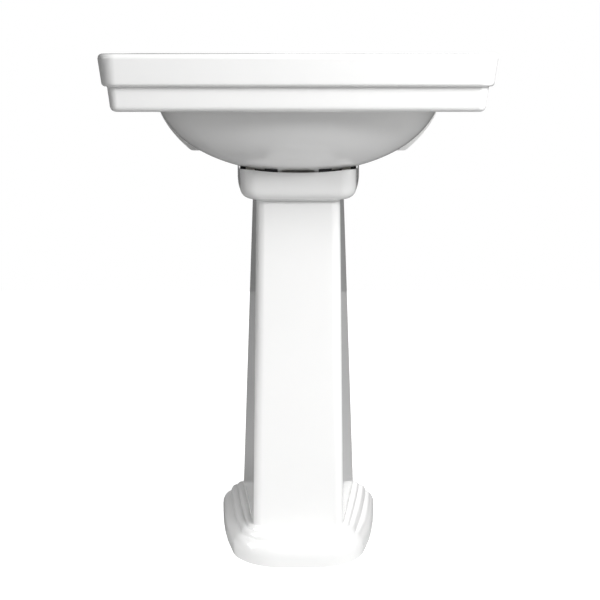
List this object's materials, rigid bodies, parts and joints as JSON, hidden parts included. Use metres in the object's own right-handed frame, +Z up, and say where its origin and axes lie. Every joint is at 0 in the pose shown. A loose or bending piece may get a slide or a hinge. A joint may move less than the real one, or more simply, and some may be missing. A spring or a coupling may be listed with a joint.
{
  "type": "pedestal sink",
  "caption": "Wall-hung china basin with a stepped apron and an oval bowl, resting on a tapered hollow pedestal that hides a push-button waste and trap.",
  "frame": {"origin": "on the floor, midway across the overall width and depth (the depth includes the bolts' and the trap arm's length inside the wall)", "axes": "+X to the user's right when facing the sink, +Y towards the wall, +Z up"},
  "size_m": [0.618, 0.54, 0.889],
  "materials": {
    "glazed_china": "glossy white glaze",
    "chrome": "polished",
    "brass": "machined",
    "zinc_steel": "bright zinc plate",
    "rubber": "matte black",
    "nylon": "natural, satin"
  },
  "bodies": {
    "sink": {"basin": "glazed_china", "pedestal": "glazed_china", "overflow_ring": "chrome", "waste_body": "chrome", "tailpiece": "chrome", "trap_inlet_nut": "chrome", "trap_bend": "chrome", "cleanout_plug": "chrome", "trap_outlet_nut": "chrome", "trap_arm": "chrome", "wall_escutcheon": "chrome", "lock_nut": "brass", "wall_bolt_left": "zinc_steel", "wall_bolt_right": "zinc_steel", "bolt_washer_left": "zinc_steel", "bolt_washer_right": "zinc_steel", "bolt_nut_left": "zinc_steel", "bolt_nut_right": "zinc_steel", "stopper_spring": "zinc_steel", "seat_pad_front_left": "rubber", "seat_pad_front_right": "rubber", "seat_pad_side_left": "rubber", "seat_pad_side_right": "rubber", "flange_gasket": "rubber", "basin_gasket": "rubber", "trap_inlet_washer": "rubber", "trap_outlet_washer": "rubber", "cleanout_seal": "rubber", "bolt_sleeve_left": "nylon", "bolt_sleeve_right": "nylon", "friction_washer": "nylon", "stopper_cartridge": "nylon"},
    "stopper": {"stopper_cap": "chrome", "stopper_seal": "rubber", "stopper_stem": "brass"}
  },
  "joints": [
    {"name": "stopper_travel", "type": "slide", "parent": "sink", "child": "stopper", "axis": [0, 0, 1], "range_m": [-0.008, 0], "stiffness_N_per_m": 600, "springref_m": 0.004, "deforming": ["stopper_spring"]}
  ]
}
